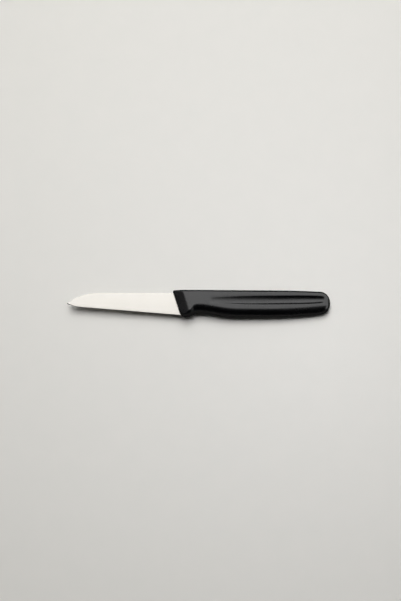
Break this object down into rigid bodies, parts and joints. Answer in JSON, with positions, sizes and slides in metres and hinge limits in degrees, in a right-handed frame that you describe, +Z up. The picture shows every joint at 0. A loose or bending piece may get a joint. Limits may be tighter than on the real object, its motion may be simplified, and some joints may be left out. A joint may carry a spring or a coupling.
{
  "type": "paring knife",
  "caption": "Small kitchen paring knife: straight ground steel blade with a clipped point, its tang moulded into a black plastic handle with a finger guard and fluted cheeks.",
  "frame": {"origin": "on the surface that the knife lies on, under the middle of its length and of its height", "axes": "+X from the point to the butt, +Y from the cutting edge to the spine, +Z up from the surface; the knife lies on its flat cheek, so its blade rises slightly towards the point"},
  "size_m": [0.188, 0.0192, 0.0134],
  "materials": {
    "blade_steel": "stainless steel strip, flat ground and finely polished, with a narrow whetted bevel along the cutting edge",
    "handle_plastic": "black injection-moulded polypropylene with a satin gloss"
  },
  "bodies": {
    "root": {"blade": "blade_steel", "handle": "handle_plastic"}
  },
  "joints": []
}
